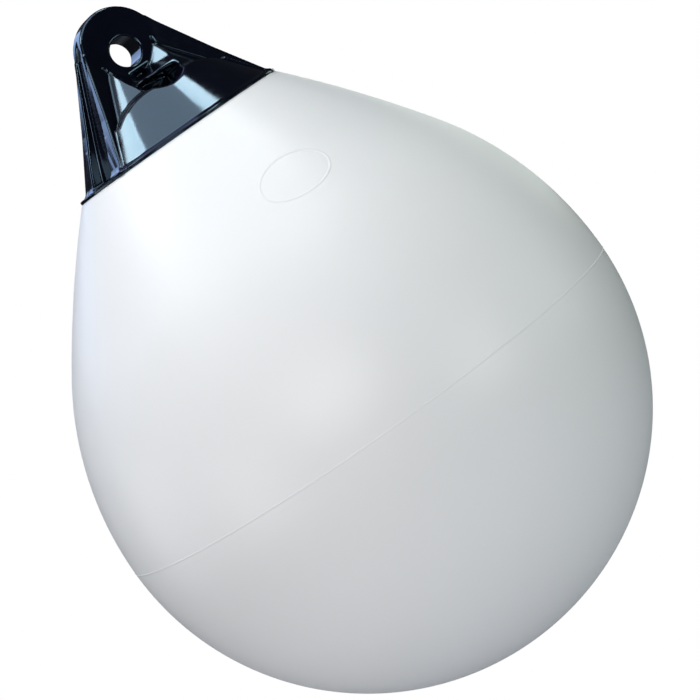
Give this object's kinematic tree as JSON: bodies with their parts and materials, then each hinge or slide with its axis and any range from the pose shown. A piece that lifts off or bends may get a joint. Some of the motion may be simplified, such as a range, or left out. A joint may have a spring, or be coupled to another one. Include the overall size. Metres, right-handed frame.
{
  "type": "ball fender",
  "caption": "Inflatable ball fender with a hollow pear-shaped body, a solid rope-eye moulding on its neck and a screw-in inflation valve.",
  "frame": {"origin": "centre of the rope eye's bore", "axes": "+Z along the fender's own axis, from the ball towards the eye; the eye's bore runs along Y; -Y is the front, +Y the side with the valve"},
  "size_m": [0.5408, 0.5408, 0.7232],
  "materials": {
    "body": "soft gloss white vinyl",
    "cap": "high gloss navy vinyl",
    "valve": "satin white",
    "plug": "satin navy",
    "seal": "matte black"
  },
  "bodies": {
    "root": {"ball_body": "body", "eye_cap": "cap", "valve_seat": "valve", "valve_plug": "plug", "valve_seal": "seal"}
  },
  "joints": []
}
